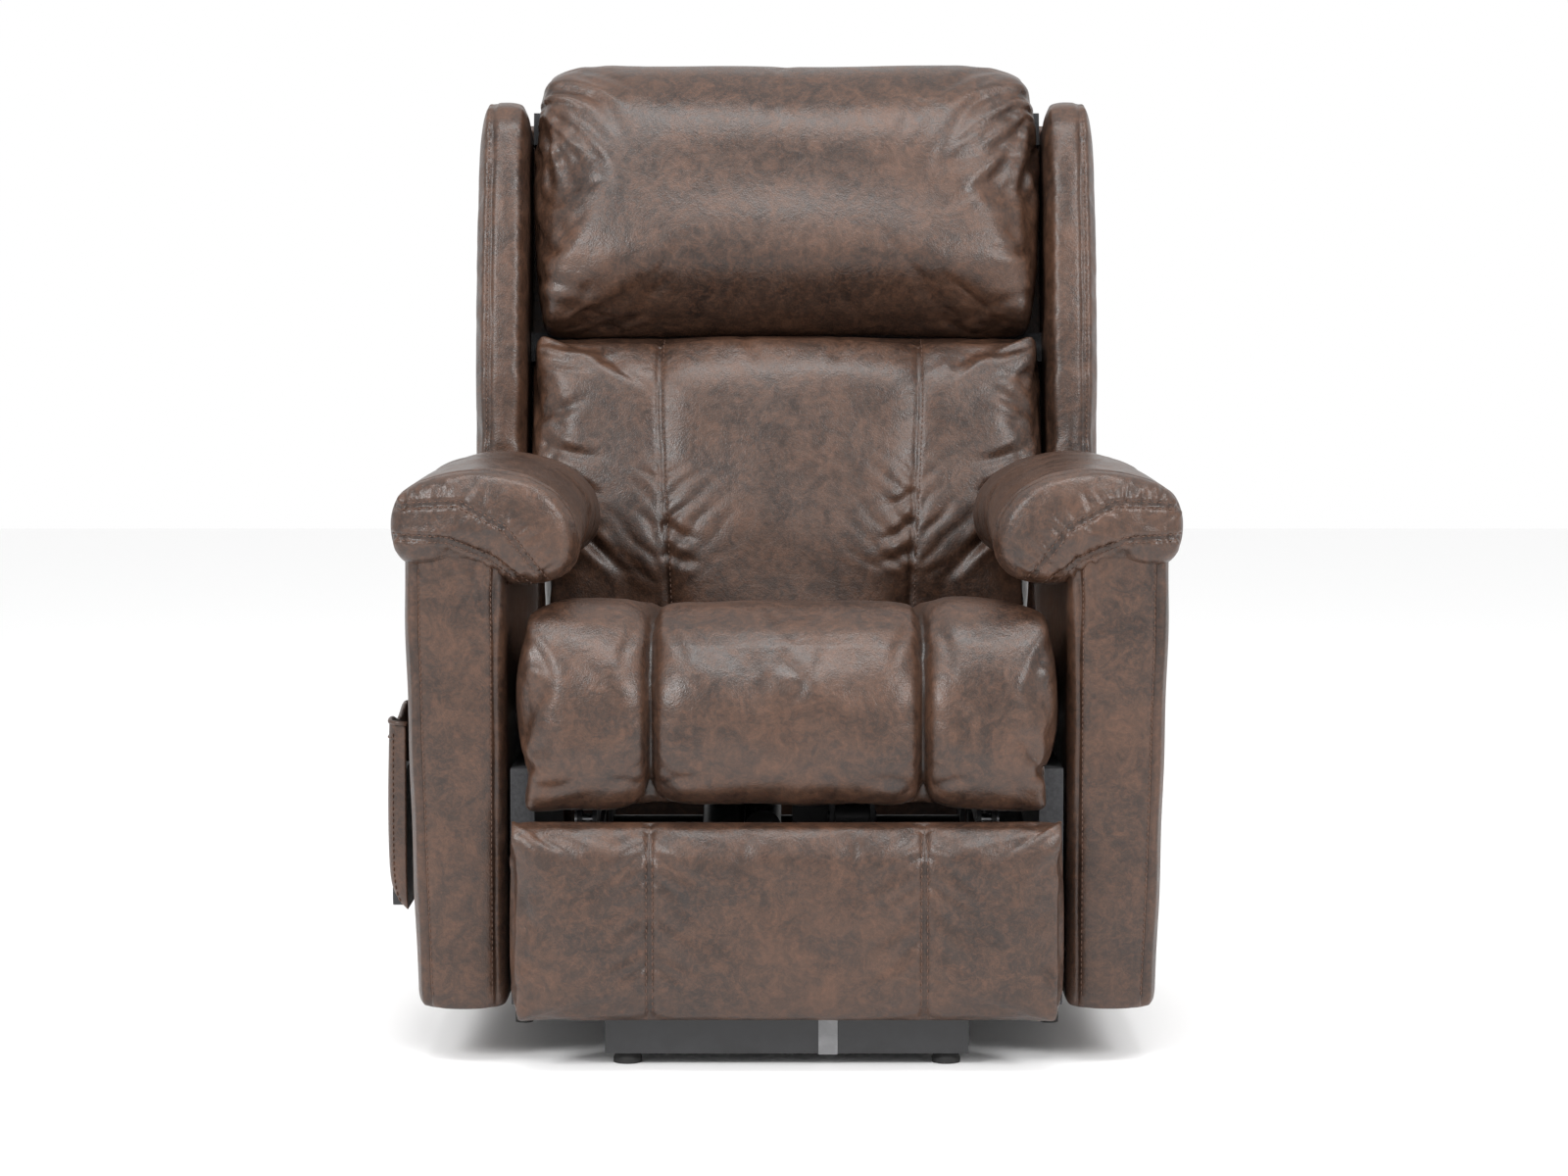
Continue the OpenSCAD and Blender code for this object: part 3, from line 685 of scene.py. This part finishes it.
# ---------------------------------------------------------------- wings and rear
def make_wing(side, node):
    o = copy_node(node, node + "_cover")
    P = get(o.data); B = to_back(P)
    B[:, 0] = side * (0.338 + (np.abs(B[:, 0]) - 0.338) * 0.93)
    put(o.data, from_back(B))
    remesh(o, 0.006); relax(o, 14)
    puff(o, 0.007, 3.0, pin=lambda P: to_back(P)[:, 1] > 0.09)
    fit(o, node, True)
    subdiv(o, 1)
    me = o.data; P = get(me); B = to_back(P); NB = vec_back(normals(me))
    x, y, z = B.T; ax = np.abs(x)
    d = np.zeros(len(P))
    # seam near the outer edge of the front face
    ff = facing(NB, (0, -1, 0.2), 0.15, 0.6)
    d -= 0.0026 * np.exp(-((ax - 0.351) / 0.0030) ** 2) * ff
    d += 0.0012 * np.exp(-((ax - 0.357) / 0.003) ** 2) * ff
    d += 0.0010 * np.sin(z * 46 + side) * np.sin(z * 17 + 1) * (ax < 0.35)
    # side panel: shallow crown inside its border
    so = facing(NB, (side, 0, 0), 0.4, 0.9)
    d += 0.002 * so * np.sin(math.pi * np.clip((z - 0.15) / 0.54, 0, 1))
    d -= 0.0016 * np.exp(-((y - 0.020 + 0.03 * np.sin(z * 5)) / 0.003) ** 2) * so
    B += NB * d[:, None]
    B[:, 0] = side * np.clip(np.abs(B[:, 0]), 0.3078, 0.3705)
    B[:, 1] = np.minimum(B[:, 1], 0.1098)
    B[:, 2] = np.clip(B[:, 2], 0.148, 0.697)
    # nothing in front of the line that clears the arm
    lowlim = -0.012 - (B[:, 2] - 0.15) * 0.26
    B[:, 1] = np.where(B[:, 2] < 0.26, np.maximum(B[:, 1], lowlim - 0.002), B[:, 1])
    put(me, from_back(B))
    done(o, "backrest", [node])
    bv = bvh_of(o)
    pts = []
    for i in range(28):
        z = 0.165 + i * 0.0185
        pts.append(from_back(np.array([[side * 0.3545, -0.10, z]]))[0])
    stitches("backrest", bv, pts, (0, CL, -SL), pitch=6.0, length=4.2, r=0.65)
    return o

def grid_panel(name, x0, x1, u0, u1, nx, nu, surf, thick):
    """closed quilted panel: surf(x, u) gives an outer point, thick is the inward vector"""
    V, F = [], []
    t = Vector(thick)
    for lay in (0, 1):
        for j in range(nu + 1):
            for i in range(nx + 1):
                p = Vector(surf(x0 + (x1 - x0) * i / nx, u0 + (u1 - u0) * j / nu, i / nx, j / nu))
                V.append(p + t * lay)
    W = nx + 1; K = W * (nu + 1)
    for j in range(nu):
        for i in range(nx):
            a = j * W + i
            F.append((a, a + 1, a + W + 1, a + W))
            F.append((K + a, K + a + W, K + a + W + 1, K + a + 1))
    edge = [i for i in range(W)] + [j * W + nx for j in range(1, nu + 1)] + [nu * W + i for i in range(nx - 1, -1, -1)] + [j * W for j in range(nu - 1, 0, -1)]
    for a, b in zip(edge, edge[1:] + edge[:1]):
        F.append((a, K + a, K + b, b))
    return mesh_obj(name, V, F)

def make_rear():
    # upper rear panel, lower rear panel, side gussets
    def surf(x, u, a, b):
        e = min(a, 1 - a, b, 1 - b)
        bulge = 0.0045 * (1 - (2 * a - 1) ** 4) * (1 - (2 * b - 1) ** 4)
        seam = 0.0035 * math.exp(-((u - 0.405) / 0.005) ** 2)
        edge = -0.006 * math.exp(-(e / 0.014) ** 2)
        rip = 0.0010 * math.sin(x * 21 + u * 13) * math.sin(u * 24 + 1)
        y = 0.1235 + bulge - seam + edge + rip
        return from_back(np.array([[x, y, u]]))[0]
    o = grid_panel("rear_upper_panel", -0.367, 0.367, 0.1505, 0.6925, 90, 70, surf, tuple(vec_rear(-0.0115)))
    done(o, "backrest", ["back_cover"])
    bv = bvh_of(o)
    for dx in (-0.352, 0.352):
        stitches("backrest", bv, [from_back(np.array([[dx, 0.14, 0.17 + 0.02 * i]]))[0] for i in range(26)], (0, -CL, SL), pitch=6.5)
    for du in (0.398, 0.412):
        stitches("backrest", bv, [from_back(np.array([[-0.345 + 0.023 * i, 0.14, du]]))[0] for i in range(31)], (0, -CL, SL), pitch=6.5)
    def surf2(x, u, a, b):
        e = min(a, 1 - a, b, 1 - b)
        y = 0.1230 + 0.003 * (1 - (2 * a - 1) ** 4) * (1 - (2 * b - 1) ** 4) - 0.006 * math.exp(-(e / 0.01) ** 2)
        return from_back(np.array([[x, y + 0.0009 * math.sin(x * 33 + u * 20), u]]))[0]
    q = grid_panel("rear_lower_panel", -0.3045, 0.3045, -0.0395, 0.1495, 70, 24, surf2, tuple(vec_rear(-0.0115)))
    done(q, "backrest", [])
    for s in (-1, 1):
        V, F = [], []
        ny, nz = 12, 30
        for lay in (0, 1):
            for j in range(nz + 1):
                for i in range(ny + 1):
                    a, b = i / ny, j / nz
                    yy = 0.034 + 0.076 * a; zz = -0.0395 + 0.189 * b
                    bul = 0.0025 * (1 - (2 * a - 1) ** 4) * (1 - (2 * b - 1) ** 4)
                    xx = (0.2845 + bul) if lay == 0 else 0.274
                    V.append(from_back(np.array([[s * xx, yy, zz]]))[0])
        W = ny + 1; K = W * (nz + 1)
        for j in range(nz):
            for i in range(ny):
                k = j * W + i
                F.append((k, k + 1, k + W + 1, k + W)); F.append((K + k, K + k + W, K + k + W + 1, K + k + 1))
        edge = [i for i in range(W)] + [j * W + ny for j in range(1, nz + 1)] + [nz * W + i for i in range(ny - 1, -1, -1)] + [j * W for j in range(nz - 1, 0, -1)]
        for a, b in zip(edge, edge[1:] + edge[:1]):
            F.append((a, K + a, K + b, b))
        done(mesh_obj("back_gusset_%s" % ("left" if s > 0 else "right"), V, F), "backrest", [])
    # top closing strip behind the pillow
    V = []
    loops = []
    for i in range(41):
        x = -0.3045 + 0.609 * i / 40
        lp = []
        for (yy, zz) in ((0.076, 0.641), (0.109, 0.641), (0.109, 0.690), (0.076, 0.690)):
            lp.append(from_back(np.array([[x, yy, zz + 0.0006 * math.sin(i)]]))[0])
        loops.append(lp)
    t = loft("back_top_board", loops)
    done(t, "backrest", [])

def vec_rear(k):
    return (0.0, k * CL, -k * SL)

# ---------------------------------------------------------------- arms
def rr(x0, x1, y0, y1, r, n=7, squeeze=0.0):
    pts = []
    for cx, cy, a0 in ((x1 - r, y0 + r, -90), (x1 - r, y1 - r, 0), (x0 + r, y1 - r, 90), (x0 + r, y0 + r, 180)):
        for i in range(n + 1):
            a = math.radians(a0 + 90 * i / n)
            pts.append((cx + r * math.cos(a), cy + r * math.sin(a)))
    # add points along the straight sides
    out = []
    m = len(pts)
    for i in range(m):
        a, b = pts[i], pts[(i + 1) % m]
        out.append(a)
        if (i + 1) % (n + 1) == 0:
            k = 22 if ((i + 1) // (n + 1)) % 2 == 1 else 7
            for j in range(1, k):
                out.append((a[0] + (b[0] - a[0]) * j / k, a[1] + (b[1] - a[1]) * j / k))
    return out

def make_arm(side, node):
    loops = []
    zs = [0.0545, 0.0570, 0.066, 0.08] + [0.10 + 0.0225 * i for i in range(20)] + [0.54, 0.548, 0.552]
    for i, z in enumerate(zs):
        t = np.clip((z - 0.054) / 0.40, 0, 1)
        xo = 0.386 + 0.013 * t ** 0.8
        inset = 0.010 if i == 0 else (0.004 if i == 1 else 0.0)
        inset = inset if i < 2 else (0.008 if i == len(zs) - 1 else (0.002 if i == len(zs) - 2 else 0))
        lp = []
        for (x, y) in rr(0.2925 + inset, xo - inset, -0.384 + inset, 0.1645 - inset, 0.024):
            # front face crowns forward a little, sides crown outwards
            lp.append((side * x, y, z))
        loops.append(lp)
    o = loft(node + "_cover", loops)
    # inner face vertical coordinate detail
    subdiv(o, 2)
    me = o.data; P = get(me); N = normals(me)
    x, y, z = P.T; ax = np.abs(x)
    f = facing(N, (0, -1, 0), 0.3, 0.85)
    so = facing(N, (side, 0, 0), 0.4, 0.9)
    t = np.clip((z - 0.054) / 0.40, 0, 1)
    xo = 0.386 + 0.013 * t ** 0.8
    d = np.zeros(len(P))
    seam_o = xo - 0.013; seam_i = 0.2925 + 0.012
    ff = facing(N, (side * 0.25, -1, 0), 0.25, 0.7)
    d -= 0.0022 * np.exp(-((ax - seam_o) / 0.0022) ** 2) * ff
    d -= 0.0020 * np.exp(-((ax - seam_i) / 0.0022) ** 2) * ff
    d += 0.0016 * np.exp(-((ax - seam_o - 0.006) / 0.003) ** 2) * ff
    u = np.clip((ax - seam_i) / (seam_o - seam_i), 0, 1)
    d += 0.0028 * np.sin(math.pi * u) * f
    d += 0.0010 * f * np.sin(z * 37 + side) * np.sin(z * 13)
    d += 0.0022 * so * np.clip(np.sin(math.pi * np.clip((y + 0.38) / 0.54, 0, 1)), 0, 1) ** 0.5 * np.sin(math.pi * np.clip((z - 0.05) / 0.5, 0, 1))
    d -= 0.0020 * np.exp(-((y + 0.352) / 0.0026) ** 2) * so
    d += 0.0008 * np.sin(y * 23 + z * 17) * np.sin(z * 29 - y * 9) * so
    # folds where the panel tucks under the pad
    Q = np.stack([ax, z], 1)
    tp = dict(taper=(0.05, 0.7))
    d += many(Q, [([(300, 515), (306, 480), (303, 430)], 4, 2.0, tp), ([(318, 515), (320, 492), (314, 462)], 4, 1.5, tp),
                  ([(392, 512), (388, 480), (391, 440)], 4, 1.6, tp), ([(345, 516), (343, 500), (346, 480)], 5, 1.2, tp)]) * f
    P += N * d[:, None]
    P[:, 0] = side * np.clip(np.abs(P[:, 0]), 0.2918, 0.403)
    P[:, 1] = np.clip(P[:, 1], -0.3895, 0.1665)
    P[:, 2] = np.maximum(P[:, 2], 0.0525)
    put(me, P)
    done(o, "carriage", [node])
    bv = bvh_of(o)
    zz = [0.07 + 0.018 * i for i in range(26)]
    def xo_(z): return 0.386 + 0.013 * min(max((z - 0.054) / 0.40, 0), 1) ** 0.8
    stitches("carriage", bv, [(side * (xo_(z) - 0.0165), -0.45, z) for z in zz], (0, 1, 0), pitch=6.0, length=4.2, r=0.6)
    stitches("carriage", bv, [(side * 0.3085, -0.45, z) for z in zz], (0, 1, 0), pitch=6.0, length=4.2, r=0.6)
    stitches("carriage", bv, [(side * 0.45, -0.3475, z) for z in zz], (-side, 0, 0), pitch=6.0, length=4.2, r=0.6)
    return o

def make_pad(side, node):
    sec = [(340, 510), (385, 515), (407, 524), (413, 545), (413, 572), (405, 598), (385, 614), (350, 624), (310, 626), (270, 619), (240, 602), (222, 575), (216, 545), (219, 520), (232, 503), (252, 498), (280, 500)]
    loops = []
    for yy, k in ((-0.402, 0.86), (-0.392, 0.965), (-0.376, 1.0), (0.085, 1.0), (0.104, 0.96), (0.110, 0.88)):
        loops.append([(side * (0.3145 + (a * MM - 0.3145) * k), yy, 0.562 + (b * MM - 0.562) * k) for a, b in sec])
    o = loft(node + "_cover", loops)
    whole = get(o.data).copy()
    remesh(o, 0.006); relax(o, 8)
    puff(o, 0.014, 4.5)
    fit(o, node, shape=whole, grow=(0.001, 0.003, 0.002))
    subdiv(o, 1)
    me = o.data; P = get(me); N = normals(me)
    x, y, z = P.T; ax = np.abs(x)
    d = np.zeros(len(P))
    f = facing(N, (0, -1, 0), 0.0, 0.5)
    Q = np.stack([ax, z], 1)
    up = [(411, 584), (340, 588), (292, 562), (250, 506)]
    lo = [(411, 553), (352, 550), (305, 530), (268, 500)]
    tp = dict(taper=(0.0, 0.0), ridge=0.25, bend=False)
    d += many(Q, [(up, 3.2, 3.4, tp), (lo, 3.2, 3.4, tp)]) * f
    # gathers between and above the seams
    r = np.random.RandomState(30 + side)
    for pts, n, sgn, Lm, dp in ((up, 26, 1, 30, 2.2), (up, 22, -1, 18, 2.2), (lo, 20, -1, 22, 1.8), (lo, 18, 1, 14, 1.4)):
        pa = np.array(pts, float)
        L = np.r_[0, np.cumsum(np.linalg.norm(np.diff(pa, axis=0), axis=1))]
        items = []
        for i in range(n):
            s = (i + 0.5 + r.uniform(-0.3, 0.3)) / n * L[-1]
            k = min(np.searchsorted(L, s) - 1, len(pa) - 2); k = max(k, 0)
            tt = (s - L[k]) / (L[k + 1] - L[k])
            p = pa[k] + (pa[k + 1] - pa[k]) * tt
            dv = (pa[k + 1] - pa[k]) / np.linalg.norm(pa[k + 1] - pa[k])
            nv = np.array([-dv[1], dv[0]]) * -1 * sgn
            ln = r.uniform(0.6, 1.3) * Lm
            q = p + nv * ln + dv * r.uniform(-10, 10)
            m = (p + q) / 2 + dv * r.uniform(-3, 3)
            items.append(([tuple(p), tuple(m), tuple(q)], r.uniform(2.4, 4.2), r.uniform(0.4, 1.0) * dp * (1.25 if side > 0 else 0.85), dict(taper=(0.02, 0.85), ridge=0.5)))
        d += many(Q, items) * f
    # long soft creases across the top and down the inner lobe
    items = []
    T = np.stack([y, np.where(ax < 0.3, z, 0.62 + (ax - 0.3))], 1)
    for i in range(9):
        y0 = -380 + i * 52 + r.uniform(-12, 12)
        items.append(([(y0, 510), (y0 + r.uniform(-8, 8), 550), (y0 + r.uniform(-22, 22), 598)], r.uniform(6, 9), r.uniform(1.0, 2.4), dict(taper=(0.05, 0.7))))
    d += many(T, items) * facing(N, (-side, 0, 0), 0.1, 0.6)
    # border seam round the front cap
    d -= 0.0030 * np.exp(-((y + 0.372) / 0.004) ** 2) * (1 - f) * (z > 0.5)
    d += 0.0012 * np.sin(y * 31 + z * 20) * np.sin(ax * 40 + y * 11) * (1 - f)
    P += N * d[:, None]
    P[:, 1] = np.clip(P[:, 1], -0.412, 0.112)
    P[:, 0] = side * np.clip(np.abs(P[:, 0]), 0.211, 0.4175)
    P[:, 2] = np.clip(P[:, 2], 0.494, 0.634)
    put(me, P)
    done(o, "carriage", [node])
    bv = bvh_of(o)
    for pts in (up, lo):
        pa = np.array(pts, float)
        for off in (-3.4, 3.4):
            path = []
            for i in range(len(pa)):
                dv = pa[min(i + 1, len(pa) - 1)] - pa[max(i - 1, 0)]; dv /= np.linalg.norm(dv)
                nv = np.array([-dv[1], dv[0]])
                q = pa[i] + nv * off
                path.append((side * q[0] * MM, -0.45, q[1] * MM))
            stitches("carriage", bv, path, (0, 1, 0), pitch=5.6, length=4.0, r=0.75)
    return o

# ---------------------------------------------------------------- pocket, skirt
def make_pocket():
    W, H = 26, 26
    V, F = [], []
    def outer(a, b):
        y = -0.320 + 0.210 * a; z = 0.150 + 0.200 * b
        bul = (1 - (2 * a - 1) ** 24) * (0.0195 + 0.0065 * math.sin(math.pi * b) * math.sin(math.pi * a)) * (1 - (1 - b) ** 16)
        sag = 0.004 * math.sin(a * 9) * b
        return (-0.4035 - bul, y, z + sag - 0.004 * (b > 0.98) * math.sin(math.pi * a))
    for lay in (0, 1):
        for j in range(H + 1):
            for i in range(W + 1):
                p = outer(i / W, j / H)
                k = 0.0022 if lay else 0
                V.append((p[0] + k, p[1] + (0.0015 if lay and i == 0 else 0) - (0.0015 if lay and i == W else 0), p[2] + (0.002 if lay and j == 0 else 0)))
    R = W + 1; K = R * (H + 1)
    for j in range(H):
        for i in range(W):
            a = j * R + i
            F.append((a, a + 1, a + R + 1, a + R)); F.append((K + a, K + a + R, K + a + R + 1, K + a + 1))
    edge = [i for i in range(R)] + [j * R + W for j in range(1, H + 1)] + [H * R + i for i in range(W - 1, -1, -1)] + [j * R for j in range(H - 1, 0, -1)]
    for a, b in zip(edge, edge[1:] + edge[:1]):
        F.append((a, K + a, K + b, b))
    o = mesh_obj("side_pocket_cover", V, F)
    subdiv(o, 1)
    done(o, "carriage", ["side_pocket"])
    bv = bvh_of(o)
    stitches("carriage", bv, [(-0.45, -0.312, 0.158 + 0.0183 * i) for i in range(11)], (1, 0, 0), pitch=6.5)
    stitches("carriage", bv, [(-0.45, -0.118, 0.158 + 0.0183 * i) for i in range(11)], (1, 0, 0), pitch=6.5)
    stitches("carriage", bv, [(-0.45, -0.312 + 0.0194 * i, 0.156) for i in range(11)], (1, 0, 0), pitch=6.5)
    stitches("carriage", bv, [(-0.45, -0.312 + 0.0194 * i, 0.334) for i in range(11)], (1, 0, 0), pitch=6.5)
    pts = [(outer(i / 40, 1.0)[0] + 0.0011, outer(i / 40, 1)[1], outer(i / 40, 1)[2]) for i in range(41)]
    t = tube_obj("pocket_binding", pts, 0.0026)
    done(t, "carriage", [])

def make_skirt():
    def surf(x, u, a, b):
        e = min(b, 1 - b)
        return (x, 0.1585 + 0.0015 * math.sin(x * 40) * math.sin(math.pi * b) - 0.003 * math.exp(-(e / 0.05) ** 2), u)
    segs = [(-0.2885, -0.263, 0.0605, 0.2215), (-0.263, -0.219, 0.0605, 0.103), (-0.263, -0.219, 0.137, 0.2215), (-0.219, 0.2885, 0.0605, 0.2215)]
    for i, (a, b, c, d) in enumerate(segs):
        o = grid_panel("rear_skirt_cover_%d" % i, a, b, c, d, max(int((b - a) / 0.008), 3), 14, surf, (0, -0.0078, 0))
        done(o, "carriage", ["rear_skirt"] if i == 3 else [])

make_seat(); make_foot(); make_lumbar(); make_pillow()
make_wing(1, "wing_left"); make_wing(-1, "wing_right")
make_rear()
make_arm(1, "arm_left"); make_arm(-1, "arm_right")
make_pad(1, "arm_pad_left"); make_pad(-1, "arm_pad_right")
make_pocket(); make_skirt()

for body, (V, F) in stitch_sets.items():
    o = mesh_obj("stitching_" + body, V, F)
    shade(o, THREAD)
    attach(o, body)

# ---------------------------------------------------------------- stage, light, camera
me = bpy.data.meshes.new("floor")
me.from_pydata([(-9, -7, 0), (9, -7, 0), (9, 9, 0), (-9, 9, 0)], [], [(0, 1, 2, 3)])
floor = obj_from("floor", me)
fm, nt, b = mat_new("floor_white")
b.inputs["Base Color"].default_value = (0.93, 0.93, 0.93, 1)
b.inputs["Roughness"].default_value = 0.6
b.inputs["Specular IOR Level"].default_value = 0.2
floor.data.materials.append(fm)

scene.view_settings.view_transform = "Standard"
w = bpy.data.worlds.new("studio")
w.use_nodes = True
w.node_tree.nodes["Background"].inputs[0].default_value = (1, 1, 1, 1)
w.node_tree.nodes["Background"].inputs[1].default_value = 1.0
scene.world = w

def area(name, loc, target, size, power, sy=None):
    l = bpy.data.lights.new(name, "AREA")
    l.energy = power; l.size = size
    if sy:
        l.shape = "RECTANGLE"; l.size_y = sy
    o = bpy.data.objects.new(name, l)
    scene.collection.objects.link(o)
    o.location = loc
    o.rotation_euler = (Vector(target) - Vector(loc)).to_track_quat("-Z", "Y").to_euler()
    return o
area("key_left", (-2.0, -2.6, 2.3), (0, -0.1, 0.6), 0.9, 78, 1.3)
area("key_right", (2.0, -2.6, 2.3), (0, -0.1, 0.6), 0.9, 70, 1.3)
area("top", (0, -0.8, 3.0), (0, 0, 0.5), 1.8, 45, 1.0)

cam = bpy.data.cameras.new("camera")
cam.lens = 88.67
cam.sensor_width = 36
cam.clip_end = 50
co = bpy.data.objects.new("camera", cam)
scene.collection.objects.link(co)
co.location = (-0.003, -4.385, 0.800)
co.rotation_euler = (math.radians(90 - 4.3), 0, 0)
scene.camera = co

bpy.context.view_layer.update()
